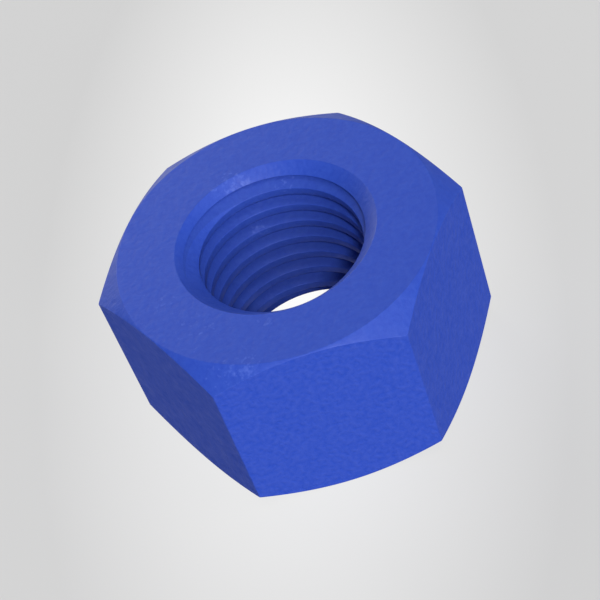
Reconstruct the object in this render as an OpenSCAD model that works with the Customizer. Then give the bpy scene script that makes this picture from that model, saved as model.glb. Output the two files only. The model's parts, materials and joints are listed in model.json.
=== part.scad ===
// Heavy hex nut, M20 x 2.5, chamfered on both faces, with a right-hand thread.
// It stands on one bearing face at z = 0, with its axis on Z and a corner on the X axis.

/* [Hexagon] */
// Width across flats
across_flats = 34; // [28:0.1:41]
// Height from one bearing face to the other
nut_height = 20.7; // [12:0.1:30]
// Radius on the six upright corners
corner_radius = 0.2; // [0.05:0.05:1]

/* [Face chamfers] */
// How far the round edge of a bearing face lies inside the flats
bearing_edge_inset = 0.1; // [0.05:0.05:1]
// Slope of each face chamfer, measured from the bearing face
chamfer_angle = 34; // [20:0.5:45]

/* [Thread] */
// Major diameter, across the bottom of the thread groove
thread_major_d = 20; // [14:0.1:24]
// Axial distance from one thread turn to the next
thread_pitch = 2.5; // [1.5:0.05:3]
// Angle between the two flanks of the groove
flank_angle = 60; // [50:1:65]
// Axial width of the flat on the thread's crest
crest_flat = 0.89; // [0.3:0.01:1.1]
// Axial width of the flat at the bottom of the groove
root_flat = 0.05; // [0.02:0.01:0.3]
// Height at which the lowest whole groove turn crosses the +X side
thread_start = 1.25; // [0:0.05:2.5]

/* [Countersinks] */
// How far the rim of a countersink lies outside the thread's major radius
countersink_lip = 0.65; // [0.1:0.05:2]
// Included angle of each countersink
countersink_angle = 90; // [80:1:120]

/* [Smoothness] */
// Flat steps in one turn of the thread groove
steps_per_turn = 48; // [24:4:72]

/* [Hidden] */
$fn = 96;

// How far a cutter runs past the surface that it opens
overrun = 0.4;

// Hexagon and face chamfers
hexagon_sides = 6;
apothem = across_flats / 2;
half_side_angle = 180 / hexagon_sides;
corner_reach = apothem / cos(half_side_angle);
bearing_r = apothem - bearing_edge_inset;
chamfer_drop = (corner_reach - bearing_r) * tan(chamfer_angle);

// Thread form: a truncated V whose depth follows from its pitch, flats and flanks
flank_slope = tan(flank_angle / 2);
thread_depth = (thread_pitch - crest_flat - root_flat) / (2 * flank_slope);
major_r = thread_major_d / 2;
minor_r = major_r - thread_depth;
groove_inner_r = minor_r - overrun;
root_half = root_flat / 2;
mouth_half = root_half + (major_r - groove_inner_r) * flank_slope;

// Helix turns from a groove wholly below the nut to one wholly above it
first_turn = -ceil((thread_start + mouth_half) / thread_pitch);
last_turn = ceil((nut_height + mouth_half - thread_start) / thread_pitch);

// Countersinks
countersink_r = major_r + countersink_lip;
countersink_slope = tan(countersink_angle / 2);
countersink_depth = (countersink_r - minor_r) / countersink_slope;

// The groove's section as [radius, height above its centre]
groove_profile = [
    [groove_inner_r, -mouth_half],
    [major_r, -root_half],
    [major_r, root_half],
    [groove_inner_r, mouth_half]
];

// The groove's section where the helix has turned by an angle from the +X side
function groove_section(angle) =
    let (z = thread_start + thread_pitch * angle / 360)
    [for (p = groove_profile) [p[0] * cos(angle), p[0] * sin(angle), z + p[1]]];

// The thread cutter: the groove's section swept along a right-hand helix
module thread_groove() {
    sides = len(groove_profile);
    steps = (last_turn - first_turn) * steps_per_turn;
    points = [
        for (i = [0 : steps])
        each groove_section(360 * (first_turn + i / steps_per_turn))
    ];
    walls = [
        for (i = [0 : steps - 1], j = [0 : sides - 1])
        let (
            a = i * sides + j,
            b = i * sides + (j + 1) % sides,
            c = a + sides,
            d = b + sides
        )
        each [[a, b, c], [b, d, c]]
    ];
    first_end = [for (j = [sides - 1 : -1 : 0]) j];
    last_end = [for (j = [0 : sides - 1]) steps * sides + j];
    polyhedron(points = points, faces = concat(walls, [first_end, last_end]), convexity = 10);
}

// The turned envelope that chamfers the hexagon's corners at both faces
module chamfer_envelope() {
    rotate_extrude()
    polygon([
        [0, 0],
        [bearing_r, 0],
        [corner_reach, chamfer_drop],
        [corner_reach, nut_height - chamfer_drop],
        [bearing_r, nut_height],
        [0, nut_height]
    ]);
}

// What lies outside the radius of the corner on the +X side
module corner_waste() {
    tangent = corner_radius * [cos(half_side_angle), sin(half_side_angle)];
    translate([(apothem - corner_radius) / cos(half_side_angle), 0, -overrun])
    linear_extrude(nut_height + 2 * overrun)
    difference() {
        polygon([
            [0, 0],
            [tangent[0], -tangent[1]],
            [corner_radius / cos(half_side_angle), 0],
            tangent
        ]);
        circle(r = corner_radius);
    }
}

// The forged blank: a hexagon with rounded corners and chamfered faces
module hexagon_blank() {
    difference() {
        intersection() {
            cylinder(h = nut_height, r = corner_reach, $fn = hexagon_sides);
            chamfer_envelope();
        }
        for (i = [0 : hexagon_sides - 1])
        rotate(i * 360 / hexagon_sides)
        corner_waste();
    }
}

// The hole at the thread's minor diameter, before tapping
module tapping_hole() {
    translate([0, 0, -overrun])
    cylinder(h = nut_height + 2 * overrun, r = minor_r);
}

// The lower countersink's cutter, which runs on past the face and into the hole
module countersink() {
    widening = overrun * countersink_slope;
    translate([0, 0, -overrun])
    cylinder(
        h = countersink_depth + 2 * overrun,
        r1 = countersink_r + widening,
        r2 = minor_r - widening
    );
}

module hex_nut() {
    color("royalblue")
    difference() {
        hexagon_blank();
        tapping_hole();
        countersink();
        translate([0, 0, nut_height])
        mirror([0, 0, 1])
        countersink();
        thread_groove();
    }
}

hex_nut();
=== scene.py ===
"""The looks of a heavy hex nut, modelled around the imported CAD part.

The nut is one piece of steel: a forged hexagon, turned at both faces, countersunk, tapped and then coated.
Each of those steps is a method here. It is modelled in millimetres and brought to metres last.
"""

import json
import logging
import math
from collections.abc import Callable
from dataclasses import dataclass
from enum import Enum

import bmesh
import bpy
from mathutils import Euler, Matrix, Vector

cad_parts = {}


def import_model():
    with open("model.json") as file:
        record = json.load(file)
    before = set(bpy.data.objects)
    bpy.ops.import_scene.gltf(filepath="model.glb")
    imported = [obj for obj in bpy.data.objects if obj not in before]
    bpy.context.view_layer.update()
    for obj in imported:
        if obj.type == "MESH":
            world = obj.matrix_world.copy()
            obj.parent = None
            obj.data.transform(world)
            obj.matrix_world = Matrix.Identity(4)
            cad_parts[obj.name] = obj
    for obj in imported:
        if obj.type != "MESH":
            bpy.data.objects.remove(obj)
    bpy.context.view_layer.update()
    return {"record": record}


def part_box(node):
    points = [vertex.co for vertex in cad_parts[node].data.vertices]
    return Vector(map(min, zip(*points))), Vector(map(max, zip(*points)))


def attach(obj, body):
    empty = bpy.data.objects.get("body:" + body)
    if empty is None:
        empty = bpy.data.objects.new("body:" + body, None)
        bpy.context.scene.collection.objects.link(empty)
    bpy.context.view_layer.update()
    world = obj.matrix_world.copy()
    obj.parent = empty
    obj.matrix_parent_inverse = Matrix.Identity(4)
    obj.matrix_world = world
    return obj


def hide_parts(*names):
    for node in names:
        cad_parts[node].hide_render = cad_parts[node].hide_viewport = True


log = logging.getLogger("heavy_hex_nut")

MM = 0.001
PER_MM = 1 / MM
ORIGIN = (0.0, 0.0, 0.0)
UP = (0.0, 0.0, 1.0)
# Half the angle that one side of the hexagon spans
HALF_SIDE = math.radians(30)
# A face is level where its normal rises or falls more than this
LEVEL = 0.9
# Most of a noise texture's values lie between these
NOISE_LOW = 0.3
NOISE_HIGH = 0.7

Point = tuple[float, float, float]
Colour = tuple[float, float, float, float]


class BooleanKind(Enum):
    """How a tool acts on the body that it meets."""

    CUT = "DIFFERENCE"
    KEEP_SHARED = "INTERSECT"


class Side(Enum):
    """The two bearing faces of the nut."""

    LOWER = -1
    UPPER = 1


def linear(hex_colour: str) -> Colour:
    """Turns an sRGB hex colour into the linear colour that a shader takes.

    Args:
        hex_colour: Six hex digits after a hash, such as "#0942BF".

    Returns:
        Red, green, blue and an alpha of 1, in linear light.
    """
    channels = [int(hex_colour[i : i + 2], 16) / 255 for i in (1, 3, 5)]
    red, green, blue = (
        c / 12.92 if c <= 0.04045 else ((c + 0.055) / 1.055) ** 2.4 for c in channels
    )
    return red, green, blue, 1.0


def add_node(
    tree: bpy.types.NodeTree,
    kind: str,
    inputs: dict[str | int, object] | None = None,
    **settings: object,
) -> bpy.types.Node:
    """Adds a node, sets its properties, and fills or links its inputs.

    Args:
        tree: The node tree that takes the node.
        kind: The node's type name.
        inputs: Values or output sockets, by the name or number of the input that takes them.
        **settings: The node's own properties.

    Returns:
        The new node.
    """
    node = tree.nodes.new(kind)
    for name, value in settings.items():
        setattr(node, name, value)
    for key, value in (inputs or {}).items():
        if isinstance(value, bpy.types.NodeSocket):
            tree.links.new(value, node.inputs[key])
        else:
            node.inputs[key].default_value = value
    return node


def direction(azimuth_deg: float, elevation_deg: float) -> Vector:
    """Points from the nut to a place around it.

    Args:
        azimuth_deg: 0 is in front, on the -Y side, and 90 is on the +X side.
        elevation_deg: The height above the horizon.

    Returns:
        A unit vector.
    """
    azimuth, elevation = math.radians(azimuth_deg), math.radians(elevation_deg)
    level = math.cos(elevation)
    return Vector((math.sin(azimuth) * level, -math.cos(azimuth) * level, math.sin(elevation)))


def start_piece(name: str) -> bpy.types.Object:
    """Names the primitive that was just added and settles its turn and place into its mesh.

    Args:
        name: The object's name.

    Returns:
        The primitive's object, which stays active.
    """
    bpy.ops.object.transform_apply(location=True, rotation=True, scale=True)
    piece = bpy.context.object
    piece.name = name
    piece.data.name = name
    return piece


def activate(piece: bpy.types.Object) -> None:
    """Makes a piece the only selected object, and the active one.

    Args:
        piece: The object that the next operators work on.
    """
    bpy.ops.object.select_all(action="DESELECT")
    piece.select_set(True)
    bpy.context.view_layer.objects.active = piece


def select(
    piece: bpy.types.Object,
    element: str,
    wanted: Callable[[bmesh.types.BMVert | bmesh.types.BMEdge | bmesh.types.BMFace], bool],
) -> None:
    """Selects part of the piece being edited by its place or normal.

    Args:
        piece: The object in edit mode.
        element: VERT, EDGE or FACE.
        wanted: Takes one element and says whether it is selected.
    """
    bpy.ops.mesh.select_mode(type=element)
    bpy.ops.mesh.select_all(action="DESELECT")
    mesh = bmesh.from_edit_mesh(piece.data)
    elements = {"VERT": mesh.verts, "EDGE": mesh.edges, "FACE": mesh.faces}[element]
    for item in elements:
        if wanted(item):
            item.select_set(True)
    bmesh.update_edit_mesh(piece.data)


def apply_boolean(body: bpy.types.Object, tool: bpy.types.Object, kind: BooleanKind) -> None:
    """Works on a body with a tool's shape, and removes the tool.

    Args:
        body: The body that stays.
        tool: The tool's shape.
        kind: Whether the shared space is cut away or kept.
    """
    activate(body)
    step = body.modifiers.new("step", "BOOLEAN")
    step.operation = kind.value
    step.solver = "MANIFOLD"
    step.object = tool
    bpy.ops.object.modifier_apply(modifier=step.name)
    bpy.data.objects.remove(tool)


@dataclass(frozen=True)
class ThreadForm:
    """The form of the tapped thread, in millimetres."""

    crest_radius: float
    major_radius: float = 10.0
    pitch: float = 2.5
    crest_flat: float = 0.89
    root_flat: float = 0.05
    start_height: float = 1.25
    crest_round: float = 0.07
    crest_round_segments: int = 3
    steps_per_turn: int = 144

    @property
    def mouth(self) -> float:
        """Half the groove's width at the crests."""
        return (self.pitch - self.crest_flat) / 2

    def profile(self) -> list[Point]:
        """Lists the corners of one pitch of the tap, from the middle of one crest to the next.

        Returns:
            Points in the XZ plane, where the groove's centre is at its starting height.
        """
        corners = (
            (self.crest_radius, -self.pitch / 2),
            (self.crest_radius, -self.mouth),
            (self.major_radius, -self.root_flat / 2),
            (self.major_radius, self.root_flat / 2),
            (self.crest_radius, self.mouth),
            (self.crest_radius, self.pitch / 2),
        )
        return [(radius, 0.0, self.start_height + height) for radius, height in corners]

    def turns_to(self, height: float) -> int:
        """Counts the whole turns from the starting height that pass a height, up or down."""
        return math.ceil(abs(height - self.start_height) / self.pitch) + 1


@dataclass(frozen=True)
class PaintedHighlight:
    """A place where pale flecks are painted into the coat's colour as a painted highlight.

    Its middle and reach are in millimetres, and its flecks are denser where fleck_density is higher.
    """

    place: Point
    reach: float
    fleck_density: float


# Painted highlights, as pale flecks: three on the upper countersink, two on the front chamfer and three on
# the top face.
FACE_PAINTED_HIGHLIGHTS = (
    PaintedHighlight(place=(-1.6, 9.6, 19.9), reach=0.8, fleck_density=0.26),
    PaintedHighlight(place=(-2.1, 10.3, 20.5), reach=0.6, fleck_density=0.2),
    PaintedHighlight(place=(-3.4, 9.6, 20.2), reach=3.4, fleck_density=0.3),
    PaintedHighlight(place=(-5.2, -16.6, 20.3), reach=3.2, fleck_density=0.19),
    PaintedHighlight(place=(-7.8, -15.2, 20.6), reach=3.6, fleck_density=0.21),
    PaintedHighlight(place=(-2.5, -11.5, 20.7), reach=2.6, fleck_density=0.17),
    PaintedHighlight(place=(-9.6, -9.0, 20.7), reach=5.0, fleck_density=0.16),
    PaintedHighlight(place=(-12.6, -4.6, 20.7), reach=3.5, fleck_density=0.16),
)
# Painted highlights, as pale flecks on the thread's flanks.
THREAD_PAINTED_HIGHLIGHTS = (
    PaintedHighlight(place=(-2.2, 8.9, 14.0), reach=2.0, fleck_density=0.29),
    PaintedHighlight(place=(2.6, 8.9, 18.8), reach=2.4, fleck_density=0.23),
)


@dataclass(frozen=True)
class FluoropolymerCoating:
    """Blue fluoropolymer, sprayed and baked on the steel.

    It gives the eye a deep even blue with a low sheen. Close by it shows a fine grain of low bumps, and its
    colour is painted paler on top of each as painted sheen and darker between them as painted shade. The
    sheen is faintly mottled as well. At given places small pale flecks are painted into the colour as
    painted highlights.
    """

    name: str
    roughness_low: float
    roughness_high: float
    grain_depth_mm: float
    painted_sheen_hex: str
    painted_shade_hex: str
    grain_size_mm: float = 0.55
    mottle_size_mm: float = 1.6
    painted_highlights: tuple[PaintedHighlight, ...] = ()
    highlight_fleck_hex: str = "#5E78D6"
    fleck_size_mm: float = 0.5
    plain_below: float = 0.72
    flecked_above: float = 1.25
    ior: float = 1.35

    def material(self) -> bpy.types.Material:
        """Builds the coating's material.

        Returns:
            The material, whose patterns follow Object coordinates.
        """
        material = bpy.data.materials.new(self.name)
        material.use_nodes = True
        tree = material.node_tree
        tree.nodes.clear()
        place = add_node(tree, "ShaderNodeTexCoord").outputs["Object"]
        grain = add_node(
            tree,
            "ShaderNodeTexNoise",
            {"Vector": place, "Scale": PER_MM / self.grain_size_mm, "Detail": 2.0},
        )
        painted_sheen_share = add_node(
            tree,
            "ShaderNodeMapRange",
            {"Value": grain.outputs["Fac"], "From Min": NOISE_LOW, "From Max": NOISE_HIGH},
        )
        # Painted sheen and shade: the grain's raised spots are paler in colour and its low spots darker.
        colour = add_node(
            tree,
            "ShaderNodeMix",
            {
                "Factor": painted_sheen_share.outputs["Result"],
                "A": linear(self.painted_shade_hex),
                "B": linear(self.painted_sheen_hex),
            },
            data_type="RGBA",
        )
        # Painted highlights: pale flecks mixed into the colour at the given places.
        flecked = add_node(
            tree,
            "ShaderNodeMix",
            {
                "Factor": self.flecks(tree, place),
                "A": colour.outputs["Result"],
                "B": linear(self.highlight_fleck_hex),
            },
            data_type="RGBA",
        )
        mottle = add_node(
            tree,
            "ShaderNodeTexNoise",
            {"Vector": place, "Scale": PER_MM / self.mottle_size_mm, "Detail": 3.0},
        )
        roughness = add_node(
            tree,
            "ShaderNodeMapRange",
            {
                "Value": mottle.outputs["Fac"],
                "From Min": NOISE_LOW,
                "From Max": NOISE_HIGH,
                "To Min": self.roughness_low,
                "To Max": self.roughness_high,
            },
        )
        bump = add_node(
            tree,
            "ShaderNodeBump",
            {"Height": grain.outputs["Fac"], "Distance": self.grain_depth_mm * MM},
        )
        shader = add_node(
            tree,
            "ShaderNodeBsdfPrincipled",
            {
                "Base Color": flecked.outputs["Result"],
                "Roughness": roughness.outputs["Result"],
                "IOR": self.ior,
                "Normal": bump.outputs["Normal"],
            },
            distribution="GGX",
        )
        add_node(tree, "ShaderNodeOutputMaterial", {"Surface": shader.outputs["BSDF"]})
        return material

    def flecks(self, tree: bpy.types.NodeTree, place: bpy.types.NodeSocket) -> bpy.types.NodeSocket:
        """Adds the pale flecks of painted highlight, which are densest in the middle of each given place.

        Args:
            tree: The node tree that takes the nodes.
            place: Object coordinates.

        Returns:
            A socket that is 1 on a fleck and 0 on plain coat.
        """
        noise = add_node(
            tree,
            "ShaderNodeTexNoise",
            {"Vector": place, "Scale": PER_MM / self.fleck_size_mm, "Detail": 3.0},
        )
        flecked = noise.outputs["Fac"]
        for highlight in self.painted_highlights:
            away = add_node(
                tree,
                "ShaderNodeVectorMath",
                {0: place, 1: [size * MM for size in highlight.place]},
                operation="DISTANCE",
            )
            fleck_density = add_node(
                tree,
                "ShaderNodeMapRange",
                {
                    "Value": away.outputs["Value"],
                    "From Max": highlight.reach * MM,
                    "To Min": highlight.fleck_density,
                    "To Max": 0.0,
                },
            )
            flecked = add_node(
                tree, "ShaderNodeMath", {0: flecked, 1: fleck_density.outputs["Result"]}, operation="ADD"
            ).outputs[0]
        return add_node(
            tree,
            "ShaderNodeMapRange",
            {"Value": flecked, "From Min": self.plain_below, "From Max": self.flecked_above},
        ).outputs["Result"]


# The coat on rough forged steel. It gives the flats higher bumps, the dullest sheen, and a stronger
# painted sheen and shade in the grain's colour.
FORGED_FINISH = FluoropolymerCoating(
    name="blue_fluoropolymer_on_forged_flats",
    roughness_low=0.72,
    roughness_high=0.92,
    grain_depth_mm=0.12,
    painted_sheen_hex="#3350BC",
    painted_shade_hex="#2346B6",
)
# The coat on the thread. Its colour is painted a little darker, as shade in the hole, and it is duller.
THREAD_FINISH_AND_SHADE = FluoropolymerCoating(
    name="blue_fluoropolymer_on_cut_thread_painted_darker",
    roughness_low=0.56,
    roughness_high=0.72,
    grain_depth_mm=0.05,
    painted_sheen_hex="#2C4BB0",
    painted_shade_hex="#2644AB",
    painted_highlights=THREAD_PAINTED_HIGHLIGHTS,
)
# The coat on smoothly turned steel. It gives the bearing faces, chamfers and countersinks a satin sheen.
MACHINED_FINISH = FluoropolymerCoating(
    name="blue_fluoropolymer_on_machined_faces",
    roughness_low=0.44,
    roughness_high=0.57,
    grain_depth_mm=0.05,
    painted_sheen_hex="#2F4FBA",
    painted_shade_hex="#2848B5",
    painted_highlights=FACE_PAINTED_HIGHLIGHTS,
)


@dataclass
class HexNut:
    """The whole nut, in millimetres until it is finished."""

    across_flats: float
    height: float
    thread: ThreadForm
    machined_finish: FluoropolymerCoating = MACHINED_FINISH
    forged_finish: FluoropolymerCoating = FORGED_FINISH
    thread_finish_and_shade: FluoropolymerCoating = THREAD_FINISH_AND_SHADE
    bearing_edge_inset: float = 0.1
    chamfer_angle_deg: float = 34.0
    corner_radius: float = 0.2
    corner_segments: int = 6
    countersink_lip: float = 0.65
    countersink_angle_deg: float = 90.0
    edge_break: float = 0.04
    edge_break_segments: int = 2
    broken_edge_deg: float = 20.0
    smooth_shading_deg: float = 35.0
    overrun: float = 1.0
    turned_sides: int = 288
    upright_margin: float = 0.02
    cone_margin: float = 0.05
    name: str = "coated_hex_nut"

    @property
    def apothem(self) -> float:
        """The distance from the axis to a flat."""
        return self.across_flats / 2

    @property
    def corner_reach(self) -> float:
        """The distance from the axis to a corner, before it is rounded."""
        return self.apothem / math.cos(HALF_SIDE)

    @property
    def bearing_radius(self) -> float:
        """The radius of the round bearing face."""
        return self.apothem - self.bearing_edge_inset

    @property
    def countersink_radius(self) -> float:
        """The radius of a countersink's rim."""
        return self.thread.major_radius + self.countersink_lip

    @property
    def half_facet(self) -> float:
        """A turn that keeps the facets' edges of turned faces clear of the corners and the tap's steps."""
        return math.pi / self.turned_sides

    def build(self) -> bpy.types.Object:
        """Makes the nut in the order in which the real one is made.

        Returns:
            The finished piece, in metres, at the origin.
        """
        nut = self.forge_blank()
        self.turn_faces(nut)
        for side in Side:
            self.countersink(nut, side)
        self.break_edges(nut)
        self.tap(nut)
        self.coat(nut)
        self.finish(nut)
        return nut

    def forge_blank(self) -> bpy.types.Object:
        """Makes the hexagon, with its six upright corners rounded.

        Returns:
            The blank, standing on the origin with a corner on the +X side.
        """
        bpy.ops.mesh.primitive_cylinder_add(
            vertices=6,
            radius=self.corner_reach,
            depth=self.height,
            location=(0, 0, self.height / 2),
            rotation=(0, 0, HALF_SIDE),
        )
        blank = start_piece(self.name)
        bpy.ops.object.mode_set(mode="EDIT")
        upright = self.height / 2
        select(blank, "EDGE", lambda e: abs(e.verts[0].co.z - e.verts[1].co.z) > upright)
        bpy.ops.mesh.bevel(
            offset=self.corner_radius * math.tan(HALF_SIDE),
            segments=self.corner_segments,
            affect="EDGES",
        )
        bpy.ops.object.mode_set(mode="OBJECT")
        return blank

    def turn_faces(self, nut: bpy.types.Object) -> None:
        """Turns the corners at both bearing faces to a shallow cone.

        Args:
            nut: The forged blank.
        """
        reach = self.corner_reach + self.overrun
        drop = (reach - self.bearing_radius) * math.tan(math.radians(self.chamfer_angle_deg))
        narrowing = self.bearing_radius / reach
        bpy.ops.mesh.primitive_cylinder_add(
            vertices=self.turned_sides,
            radius=reach,
            depth=self.height - 2 * drop,
            location=(0, 0, self.height / 2),
            rotation=(0, 0, self.half_facet),
        )
        envelope = start_piece("turned_envelope")
        bpy.ops.object.mode_set(mode="EDIT")
        for side in Side:
            select(envelope, "FACE", lambda f: f.normal.z * side.value > LEVEL)
            bpy.ops.mesh.extrude_region_move(
                TRANSFORM_OT_translate={"value": (0, 0, side.value * drop)}
            )
            end = self.height if side is Side.UPPER else 0
            bpy.ops.transform.resize(
                value=(narrowing, narrowing, 1), center_override=(0, 0, end)
            )
        bpy.ops.object.mode_set(mode="OBJECT")
        apply_boolean(nut, envelope, BooleanKind.KEEP_SHARED)

    def countersink(self, nut: bpy.types.Object, side: Side) -> None:
        """Cuts a countersink into one bearing face.

        Args:
            nut: The turned blank.
            side: The bearing face that is cut.
        """
        slope = math.tan(math.radians(self.countersink_angle_deg / 2))
        widening = self.overrun * slope
        tip_radius = self.thread.crest_radius - widening
        depth = (self.countersink_radius - tip_radius) / slope + self.overrun
        middle = depth / 2 - self.overrun
        bpy.ops.mesh.primitive_cone_add(
            vertices=self.turned_sides,
            radius1=self.countersink_radius + widening,
            radius2=tip_radius,
            depth=depth,
            location=(0, 0, self.height - middle if side is Side.UPPER else middle),
            rotation=(math.pi if side is Side.UPPER else 0, 0, self.half_facet),
        )
        apply_boolean(nut, start_piece("countersink"), BooleanKind.CUT)

    def break_edges(self, nut: bpy.types.Object) -> None:
        """Takes the sharpness off every edge, as the coat does.

        Args:
            nut: The countersunk blank.
        """
        activate(nut)
        bpy.ops.object.mode_set(mode="EDIT")
        bpy.ops.mesh.select_mode(type="EDGE")
        bpy.ops.mesh.select_all(action="DESELECT")
        bpy.ops.mesh.edges_select_sharp(sharpness=math.radians(self.broken_edge_deg))
        bpy.ops.mesh.bevel(
            offset=self.edge_break, segments=self.edge_break_segments, affect="EDGES"
        )
        bpy.ops.object.mode_set(mode="OBJECT")

    def tap(self, nut: bpy.types.Object) -> None:
        """Cuts the right-hand thread with a solid tap, which also opens the hole.

        Args:
            nut: The countersunk blank.
        """
        tool = self.tap_profile()
        turns = self.thread.turns_to(self.height + self.overrun)
        helix = tool.modifiers.new("helix", "SCREW")
        helix.axis = "Z"
        helix.angle = math.tau
        helix.screw_offset = self.thread.pitch
        helix.iterations = turns + self.thread.turns_to(-self.overrun)
        helix.steps = self.thread.steps_per_turn
        helix.render_steps = self.thread.steps_per_turn
        bpy.ops.object.modifier_apply(modifier=helix.name)
        bpy.ops.object.mode_set(mode="EDIT")
        bpy.ops.mesh.select_all(action="SELECT")
        bpy.ops.mesh.remove_doubles(threshold=self.thread.root_flat / 100)
        for side in Side:
            end = self.height + self.overrun if side is Side.UPPER else -self.overrun
            bpy.ops.mesh.select_all(action="SELECT")
            bpy.ops.mesh.bisect(
                plane_co=(0, 0, end),
                plane_no=UP,
                use_fill=True,
                clear_inner=side is Side.LOWER,
                clear_outer=side is Side.UPPER,
                threshold=self.thread.root_flat / 1000,
            )
        bpy.ops.mesh.select_all(action="SELECT")
        bpy.ops.mesh.normals_make_consistent(inside=False)
        bpy.ops.object.mode_set(mode="OBJECT")
        apply_boolean(nut, tool, BooleanKind.CUT)

    def tap_profile(self) -> bpy.types.Object:
        """Draws one pitch of the tap as a chain of edges, with its two crest corners rounded.

        Returns:
            The chain, low enough for the helix to start below the nut.
        """
        lead_in = Vector((0, 0, -self.thread.turns_to(-self.overrun) * self.thread.pitch))
        bpy.ops.mesh.primitive_plane_add(size=self.thread.pitch, location=ORIGIN)
        tool = start_piece("tap")
        bpy.ops.object.mode_set(mode="EDIT")
        bpy.ops.mesh.select_mode(type="VERT")
        bpy.ops.mesh.select_all(action="SELECT")
        bpy.ops.mesh.merge(type="CENTER")
        first, *others = (Vector(corner) + lead_in for corner in self.thread.profile())
        bpy.ops.transform.translate(value=first)
        last = first
        for corner in others:
            bpy.ops.mesh.extrude_vertices_move(TRANSFORM_OT_translate={"value": corner - last})
            last = corner
        centre = self.thread.start_height + lead_in.z
        near = self.thread.root_flat / 10
        select(tool, "VERT", lambda v: abs(abs(v.co.z - centre) - self.thread.mouth) < near)
        bpy.ops.mesh.bevel(
            offset=self.thread.crest_round,
            segments=self.thread.crest_round_segments,
            affect="VERTICES",
        )
        bpy.ops.object.mode_set(mode="OBJECT")
        return tool

    def coat(self, nut: bpy.types.Object) -> None:
        """Coats the nut, with finishes of their own on the forged flats and on the thread.

        Args:
            nut: The tapped nut.
        """
        nut.data.materials.clear()
        # The thread's material has its colour painted darker as shade in the hole.
        for finish in (self.machined_finish, self.forged_finish, self.thread_finish_and_shade):
            nut.data.materials.append(finish.material())
        activate(nut)
        bpy.ops.object.mode_set(mode="EDIT")
        for slot, wanted in ((1, self.is_forged), (2, self.is_thread)):
            select(nut, "FACE", wanted)
            nut.active_material_index = slot
            bpy.ops.object.material_slot_assign()
        bpy.ops.object.mode_set(mode="OBJECT")

    def is_forged(self, face: bmesh.types.BMFace) -> bool:
        """Says whether a face is on a flat or an upright corner."""
        upright = abs(face.normal.z) < self.upright_margin
        return upright and face.verts[0].co.xy.length > self.countersink_radius + self.overrun

    def is_thread(self, face: bmesh.types.BMFace) -> bool:
        """Says whether a face is on the thread, and not on a countersink's cone.

        Args:
            face: A face of the tapped nut.

        Returns:
            True inside the thread's major radius, except where the face slopes as the cone does.
        """
        cone_slope = math.sin(math.radians(self.countersink_angle_deg / 2))
        on_cone = abs(abs(face.normal.z) - cone_slope) < self.cone_margin
        reach = max(corner.co.xy.length for corner in face.verts)
        return reach < self.thread.major_radius + self.edge_break and not on_cone

    def finish(self, nut: bpy.types.Object) -> None:
        """Brings the nut to metres and smooths its shading.

        Args:
            nut: The coated nut, in millimetres.
        """
        activate(nut)
        bpy.ops.object.mode_set(mode="EDIT")
        bpy.ops.mesh.select_all(action="SELECT")
        bpy.ops.transform.resize(value=(MM, MM, MM), center_override=ORIGIN)
        bpy.ops.object.mode_set(mode="OBJECT")
        bpy.ops.object.shade_smooth_by_angle(angle=math.radians(self.smooth_shading_deg))
        weighting = nut.modifiers.new("face_weights", "WEIGHTED_NORMAL")
        weighting.keep_sharp = True
        bpy.ops.object.modifier_apply(modifier=weighting.name)


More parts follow.
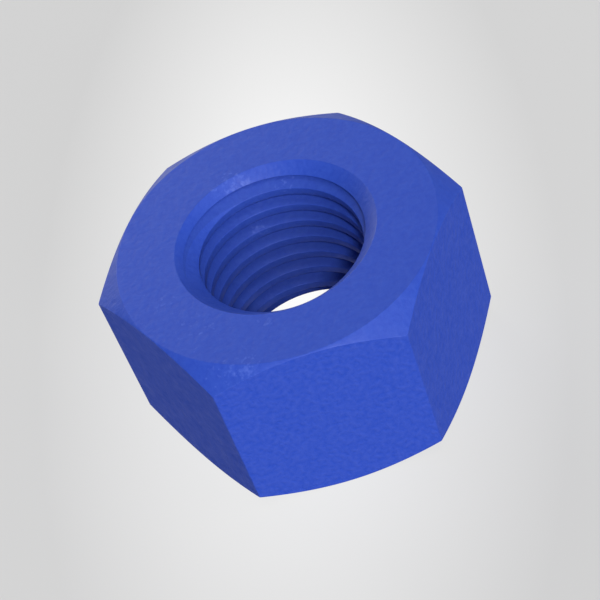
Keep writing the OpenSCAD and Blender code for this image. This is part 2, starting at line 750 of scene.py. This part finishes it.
@dataclass(frozen=True)
class PaleFloor:
    """A plain pale floor with a painted pool of light, white under and behind the nut and light grey further
    out.

    Eye and gloss see that painted pool of light, white fading to grey. Other light falls on plain grey card,
    which is white only under the nut, so that it sends light back up the hole.
    """

    centre_hex: str = "#FCFCFC"
    edge_hex: str = "#EAEAEA"
    centre: tuple[float, float] = (-0.7, 17.5)
    short_reach: float = 31.0
    stretch: float = 2.47
    turn_deg: float = -7.8
    floor_size: float = 4000.0
    shown_share: float = 0.6
    white_reach: float = 0.12
    card_hex: str = "#B0B0B0"
    under_nut_hex: str = "#F8F8F8"
    under_nut_reach: float = 15.0

    def build(self) -> None:
        """Lays the floor under the nut."""
        bpy.ops.object.select_all(action="DESELECT")
        bpy.ops.mesh.primitive_plane_add(size=self.floor_size * MM, location=ORIGIN)
        floor = start_piece("pale_floor")
        floor.data.materials.append(self.material())

    def material(self) -> bpy.types.Material:
        """Builds the floor's material, which keeps shadows and shows pale to eye and gloss alike.

        Returns:
            The material.
        """
        material = bpy.data.materials.new("pale_floor")
        material.use_nodes = True
        tree = material.node_tree
        tree.nodes.clear()
        place = add_node(tree, "ShaderNodeTexCoord").outputs["Object"]
        reach = self.short_reach * MM
        pool_place = add_node(
            tree,
            "ShaderNodeMapping",
            {
                "Vector": place,
                "Location": (self.centre[0] * MM, self.centre[1] * MM, 0),
                "Rotation": (0, 0, math.radians(self.turn_deg)),
                "Scale": (reach, reach * self.stretch, 1),
            },
            vector_type="TEXTURE",
        )
        distance = add_node(
            tree, "ShaderNodeVectorMath", {0: pool_place.outputs[0]}, operation="LENGTH"
        )
        # The painted pool of light: white in the middle, fading to grey at the edge.
        pool = add_node(
            tree,
            "ShaderNodeMapRange",
            {
                "Value": distance.outputs["Value"],
                "From Min": self.white_reach,
                "From Max": 1.0,
                "To Min": 1.0,
                "To Max": 0.0,
            },
        )
        colour = add_node(
            tree,
            "ShaderNodeMix",
            {
                "Factor": pool.outputs["Result"],
                "A": linear(self.edge_hex),
                "B": linear(self.centre_hex),
            },
            data_type="RGBA",
        )
        shown_share = add_node(
            tree, "ShaderNodeMapRange", {"Value": pool.outputs["Result"], "To Min": self.shown_share}
        )
        seen = self.seen_by_eye_or_gloss(tree)
        share = add_node(
            tree, "ShaderNodeMath", {0: seen, 1: shown_share.outputs["Result"]}, operation="MULTIPLY"
        )
        from_axis = add_node(tree, "ShaderNodeVectorMath", {0: place}, operation="LENGTH")
        under_nut = add_node(
            tree,
            "ShaderNodeMath",
            {0: from_axis.outputs["Value"], 1: self.under_nut_reach * MM},
            operation="LESS_THAN",
        )
        card = add_node(
            tree,
            "ShaderNodeMix",
            {
                "Factor": under_nut.outputs[0],
                "A": linear(self.card_hex),
                "B": linear(self.under_nut_hex),
            },
            data_type="RGBA",
        )
        lit = add_node(tree, "ShaderNodeBsdfDiffuse", {"Color": card.outputs["Result"]})
        shown = add_node(
            tree, "ShaderNodeEmission", {"Color": colour.outputs["Result"], "Strength": 1.0}
        )
        mix = add_node(
            tree,
            "ShaderNodeMixShader",
            {0: share.outputs[0], 1: lit.outputs[0], 2: shown.outputs[0]},
        )
        add_node(tree, "ShaderNodeOutputMaterial", {"Surface": mix.outputs[0]})
        return material

    @staticmethod
    def seen_by_eye_or_gloss(tree: bpy.types.NodeTree) -> bpy.types.NodeSocket:
        """Adds the test for rays that show the background, and not for those that light the nut.

        Args:
            tree: The node tree that takes the nodes.

        Returns:
            A socket that is 1 for camera, glossy and transmission rays.
        """
        path = add_node(tree, "ShaderNodeLightPath")
        eye_or_gloss = add_node(
            tree,
            "ShaderNodeMath",
            {0: path.outputs["Is Camera Ray"], 1: path.outputs["Is Glossy Ray"]},
            operation="MAXIMUM",
        )
        return add_node(
            tree,
            "ShaderNodeMath",
            {0: eye_or_gloss.outputs[0], 1: path.outputs["Is Transmission Ray"]},
            operation="MAXIMUM",
        ).outputs[0]


@dataclass(frozen=True)
class SoftBox:
    """A square studio light with a cloth front, turned to the nut."""

    name: str
    azimuth_deg: float
    elevation_deg: float
    watts: float
    width: float = 1600.0
    distance: float = 2400.0

    def build(self, aim: Vector) -> None:
        """Hangs the light.

        Args:
            aim: The point that it faces, in millimetres.
        """
        light = bpy.data.lights.new(self.name, "AREA")
        light.shape = "SQUARE"
        light.size = self.width * MM
        light.energy = self.watts
        toward = direction(self.azimuth_deg, self.elevation_deg)
        lamp = bpy.data.objects.new(self.name, light)
        lamp.location = (aim + toward * self.distance) * MM
        lamp.rotation_euler = toward.to_track_quat("Z", "Y").to_euler()
        lamp.visible_camera = False
        bpy.context.scene.collection.objects.link(lamp)


@dataclass(frozen=True)
class Studio:
    """Soft light around the nut, and one small key lamp that leaves a dark patch low in the hole."""

    lamps: tuple[SoftBox, ...] = (
        SoftBox("front_softbox", 14.0, 18.0, 38.2),
        SoftBox("key_lamp", 9.5, 45.0, 24.5, width=260.0),
        SoftBox("overhead_softbox", 0.0, 89.9, 11.0),
        SoftBox("back_softbox", 204.0, 18.0, 29.0),
        SoftBox("back_right_softbox", 135.0, 20.0, 1.5),
        SoftBox("right_softbox", 65.0, 60.0, 8.0, width=1000.0),
    )
    room_strength: float = 0.05
    shown_hex: str = "#A8A8A8"

    def build(self, aim: Vector) -> None:
        """Hangs the lamps and fills the room with weak even light.

        Args:
            aim: The nut's centre, in millimetres.
        """
        for lamp in self.lamps:
            lamp.build(aim)
        world = bpy.data.worlds.new("studio_room")
        world.use_nodes = True
        bpy.context.scene.world = world
        tree = world.node_tree
        tree.nodes.clear()
        seen = PaleFloor.seen_by_eye_or_gloss(tree)
        room = add_node(tree, "ShaderNodeBackground", {"Strength": self.room_strength})
        shown = add_node(tree, "ShaderNodeBackground", {"Color": linear(self.shown_hex)})
        mix = add_node(
            tree, "ShaderNodeMixShader", {0: seen, 1: room.outputs[0], 2: shown.outputs[0]}
        )
        add_node(tree, "ShaderNodeOutputWorld", {"Surface": mix.outputs[0]})


@dataclass(frozen=True)
class PhotoCamera:
    """The camera of the photograph, which looks at the nut's centre."""

    azimuth_deg: float = 4.842
    elevation_deg: float = 46.091
    roll_deg: float = -21.153
    distance: float = 188.79
    focal_px: float = 1782.55
    frame_px: float = 600.0
    sensor: float = 36.0

    def build(self, aim: Vector) -> None:
        """Sets up the scene's camera.

        Args:
            aim: The nut's centre, in millimetres.
        """
        data = bpy.data.cameras.new("photo_camera")
        data.sensor_width = self.sensor
        data.lens = self.sensor * self.focal_px / self.frame_px
        data.clip_start = self.distance * MM / 100
        camera = bpy.data.objects.new("photo_camera", data)
        camera.location = (aim + direction(self.azimuth_deg, self.elevation_deg) * self.distance) * MM
        tilt = Euler((math.radians(90 - self.elevation_deg), 0, math.radians(self.azimuth_deg)))
        roll = Euler((0, 0, math.radians(self.roll_deg)))
        camera.rotation_mode = "QUATERNION"
        camera.rotation_quaternion = tilt.to_quaternion() @ roll.to_quaternion()
        bpy.context.scene.collection.objects.link(camera)
        bpy.context.scene.camera = camera


def main() -> None:
    """Loads the frame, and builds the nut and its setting."""
    logging.basicConfig(level=logging.INFO, format="%(name)s: %(message)s")
    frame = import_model()

    low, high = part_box("hex_nut")
    mounts = {mount["name"]: mount for mount in frame["record"]["mounts"]}
    thread = ThreadForm(crest_radius=mounts["thread"]["dims"]["r_mm"])
    across_flats, height = (round(size * PER_MM, 3) for size in (high.y - low.y, high.z - low.z))
    nut = HexNut(across_flats=across_flats, height=height, thread=thread)
    aim = Vector((0, 0, nut.height / 2))

    PhotoCamera().build(aim)
    Studio().build(aim)
    PaleFloor().build()

    bpy.ops.object.select_all(action="DESELECT")
    piece = nut.build()
    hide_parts("hex_nut")
    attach(piece, "root")
    log.info("%s: %d faces", piece.name, len(piece.data.polygons))

    bpy.context.scene.view_settings.view_transform = "Standard"


if __name__ == "__main__":
    main()
